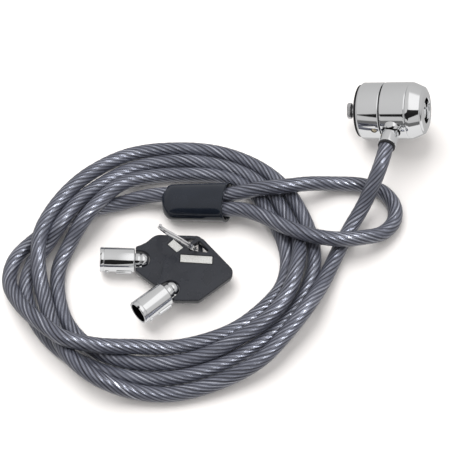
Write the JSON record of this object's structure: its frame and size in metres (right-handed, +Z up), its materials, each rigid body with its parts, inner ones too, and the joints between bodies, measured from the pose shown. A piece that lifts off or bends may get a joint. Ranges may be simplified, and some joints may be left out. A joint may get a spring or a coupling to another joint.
{
  "type": "laptop cable lock",
  "caption": "Cable lock for a computer: round swivelling chrome lock head with a turning T-bar, long jacketed steel cable ending in a crimped loop, and tubular keys on a split ring.",
  "frame": {"origin": "middle of the lock head and keys' shared box, on the plane they lie on; the free cable isn't counted", "axes": "+Z up from the table; +X along the longest extent of head and keys, from the keys towards the lock head's key face; +Y from the keys towards the head"},
  "size_m": [0.1568, 0.1246, 0.0261],
  "materials": {
    "chrome": "polished chrome plating",
    "steel": "bright turned steel",
    "brass": "turned brass",
    "aluminium": "pressed aluminium",
    "rubber": "moulded black rubber",
    "jacket": "smoke-grey vinyl jacket over twisted steel strands",
    "plastic": "moulded black plastic",
    "plate": "pale brushed metal foil"
  },
  "bodies": {
    "cable": {"cable_ferrule": "chrome", "ferrule_seal": "rubber", "ferrule_pin": "steel", "security_cable": "jacket", "crimp_sleeve": "aluminium", "sleeve_cover": "plastic"},
    "collar": {"swivel_collar": "chrome"},
    "barrel": {"rear_barrel": "chrome", "rear_plate": "steel", "rubber_washer": "rubber", "retaining_pin": "brass", "inner_sleeve": "steel", "nose_barrel": "chrome", "lock_cylinder": "brass"},
    "core": {"lock_core": "steel", "lock_spindle": "steel", "t_bar": "steel", "retaining_clip": "steel"},
    "pin_1": {"key_pin_1": "brass"},
    "pin_2": {"key_pin_2": "brass"},
    "pin_3": {"key_pin_3": "brass"},
    "pin_4": {"key_pin_4": "brass"},
    "pin_5": {"key_pin_5": "brass"},
    "pin_6": {"key_pin_6": "brass"},
    "pin_7": {"key_pin_7": "brass"},
    "ring": {"key_ring": "steel"},
    "key_1": {"key_1_tube": "chrome", "key_1_stem": "chrome", "key_1_bow": "plastic", "key_1_plate": "plate"},
    "key_2": {"key_2_tube": "chrome", "key_2_stem": "chrome", "key_2_bow": "plastic", "key_2_plate": "plate"}
  },
  "joints": [
    {"name": "ferrule_pivot", "type": "hinge", "parent": "cable", "child": "collar", "pos_m": [0.04549, 0.02644, 0.01501], "axis": [-0.2809, 0.1868, 0.9414], "range_deg": [-12, 12]},
    {"name": "head_swivel", "type": "hinge", "parent": "collar", "child": "barrel", "pos_m": [0.04776, 0.03549, 0.0139], "axis": [0.926, -0.205, 0.317], "continuous": true},
    {"name": "plug_turn", "type": "hinge", "parent": "barrel", "child": "core", "pos_m": [0.05054, 0.03487, 0.01485], "axis": [0.926, -0.205, 0.317], "range_deg": [0, 90]},
    {"name": "pin_1_press", "type": "slide", "parent": "core", "child": "pin_1", "axis": [-0.926, 0.205, -0.317], "range_m": [0, 0.001], "stiffness_N_per_m": 100, "springref_m": -0.0005},
    {"name": "pin_2_press", "type": "slide", "parent": "core", "child": "pin_2", "axis": [-0.926, 0.205, -0.317], "range_m": [0, 0.001], "stiffness_N_per_m": 100, "springref_m": -0.0005},
    {"name": "pin_3_press", "type": "slide", "parent": "core", "child": "pin_3", "axis": [-0.926, 0.205, -0.317], "range_m": [0, 0.001], "stiffness_N_per_m": 100, "springref_m": -0.0005},
    {"name": "pin_4_press", "type": "slide", "parent": "core", "child": "pin_4", "axis": [-0.926, 0.205, -0.317], "range_m": [0, 0.001], "stiffness_N_per_m": 100, "springref_m": -0.0005},
    {"name": "pin_5_press", "type": "slide", "parent": "core", "child": "pin_5", "axis": [-0.926, 0.205, -0.317], "range_m": [0, 0.001], "stiffness_N_per_m": 100, "springref_m": -0.0005},
    {"name": "pin_6_press", "type": "slide", "parent": "core", "child": "pin_6", "axis": [-0.926, 0.205, -0.317], "range_m": [0, 0.001], "stiffness_N_per_m": 100, "springref_m": -0.0005},
    {"name": "pin_7_press", "type": "slide", "parent": "core", "child": "pin_7", "axis": [-0.926, 0.205, -0.317], "range_m": [0, 0.001], "stiffness_N_per_m": 100, "springref_m": -0.0005},
    {"name": "key_set_lift", "type": "slide", "parent": "cable", "child": "ring", "axis": [0, 0, 1], "range_m": [0, 0.03]},
    {"name": "key_1_swing", "type": "hinge", "parent": "ring", "child": "key_1", "pos_m": [-0.02793, -0.01675, 0.00246], "axis": [0.0958, 0.0017, 0.9954], "range_deg": [0, 3]},
    {"name": "key_2_swing", "type": "hinge", "parent": "ring", "child": "key_2", "pos_m": [-0.02663, -0.01891, 0.00555], "axis": [0.0658, 0.0572, 0.9962], "range_deg": [0, 20]}
  ]
}
